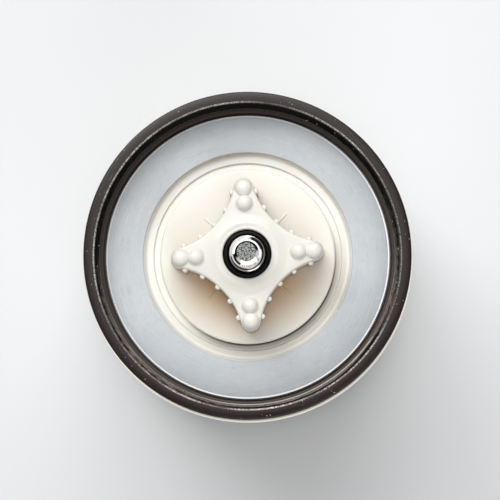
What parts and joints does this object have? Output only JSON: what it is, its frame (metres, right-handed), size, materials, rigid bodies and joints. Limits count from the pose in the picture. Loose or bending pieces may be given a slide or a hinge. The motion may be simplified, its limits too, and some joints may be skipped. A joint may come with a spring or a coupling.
{
  "type": "manual coffee grinder mill head",
  "caption": "Mill head of a jar-type hand coffee grinder, upside down on its lid: hopper, jar collar, conical ceramic burrs, spring, drive shaft and star-shaped grind adjuster.",
  "frame": {"origin": "centre of the lid's foot, on the surface that the mill head stands on upside down, on the shaft's axis", "axes": "+Z along the shaft, from the hopper lid towards the burrs, the jar collar and the adjuster knob"},
  "size_m": [0.0796, 0.0796, 0.107],
  "materials": {
    "dark_plastic": "moulded dark brown, satin",
    "clear_plastic": "natural translucent, bluish white",
    "cream_gloss": "moulded cream, semi gloss",
    "cream_plastic": "moulded cream, satin",
    "knob_plastic": "moulded off-white, satin",
    "bush_plastic": "plain white bearing plastic",
    "ceramic": "unglazed white ceramic",
    "shaft_steel": "turned stainless steel",
    "washer_steel": "stamped stainless steel",
    "spring_steel": "drawn stainless spring wire",
    "brass": "turned brass",
    "rubber": "black nitrile rubber"
  },
  "bodies": {
    "lid": {"hopper_lid": "dark_plastic"},
    "housing": {"hopper_funnel": "clear_plastic", "outer_shell": "cream_gloss", "base_plate": "clear_plastic", "burr_retainer": "cream_plastic", "jar_collar": "dark_plastic", "outer_burr": "ceramic", "lid_end_bush": "bush_plastic", "burr_end_bush": "bush_plastic"},
    "drive": {"drive_shaft": "shaft_steel", "drive_pin": "shaft_steel", "retaining_clip": "spring_steel", "clip_washer": "washer_steel", "spring_washer": "washer_steel"},
    "burr": {"inner_burr": "ceramic", "burr_carrier": "cream_plastic", "lift_spring": "spring_steel", "spring_seat": "washer_steel"},
    "adjuster": {"adjuster_knob": "knob_plastic", "knob_nut": "brass", "friction_ring": "rubber"}
  },
  "joints": [
    {"name": "lid_off", "type": "slide", "parent": "lid", "child": "housing", "axis": [0, 0, 1], "range_m": [0, 0.05]},
    {"name": "drive_spin", "type": "hinge", "parent": "housing", "child": "drive", "pos_m": [0, 0, 0.05], "axis": [0, 0, 1], "continuous": true},
    {"name": "burr_feed", "type": "slide", "parent": "drive", "child": "burr", "axis": [0, 0, 1], "range_m": [-0.00035, 0.0013], "deforming": ["lift_spring"]},
    {"name": "adjuster_turn", "type": "hinge", "parent": "burr", "child": "adjuster", "pos_m": [0, 0, 0.095], "axis": [0, 0, 1], "range_deg": [-90, 360]}
  ],
  "couplings": [
    {"joint": "burr_feed", "follows": "adjuster_turn", "m_per_rad": 0.00019894}
  ]
}
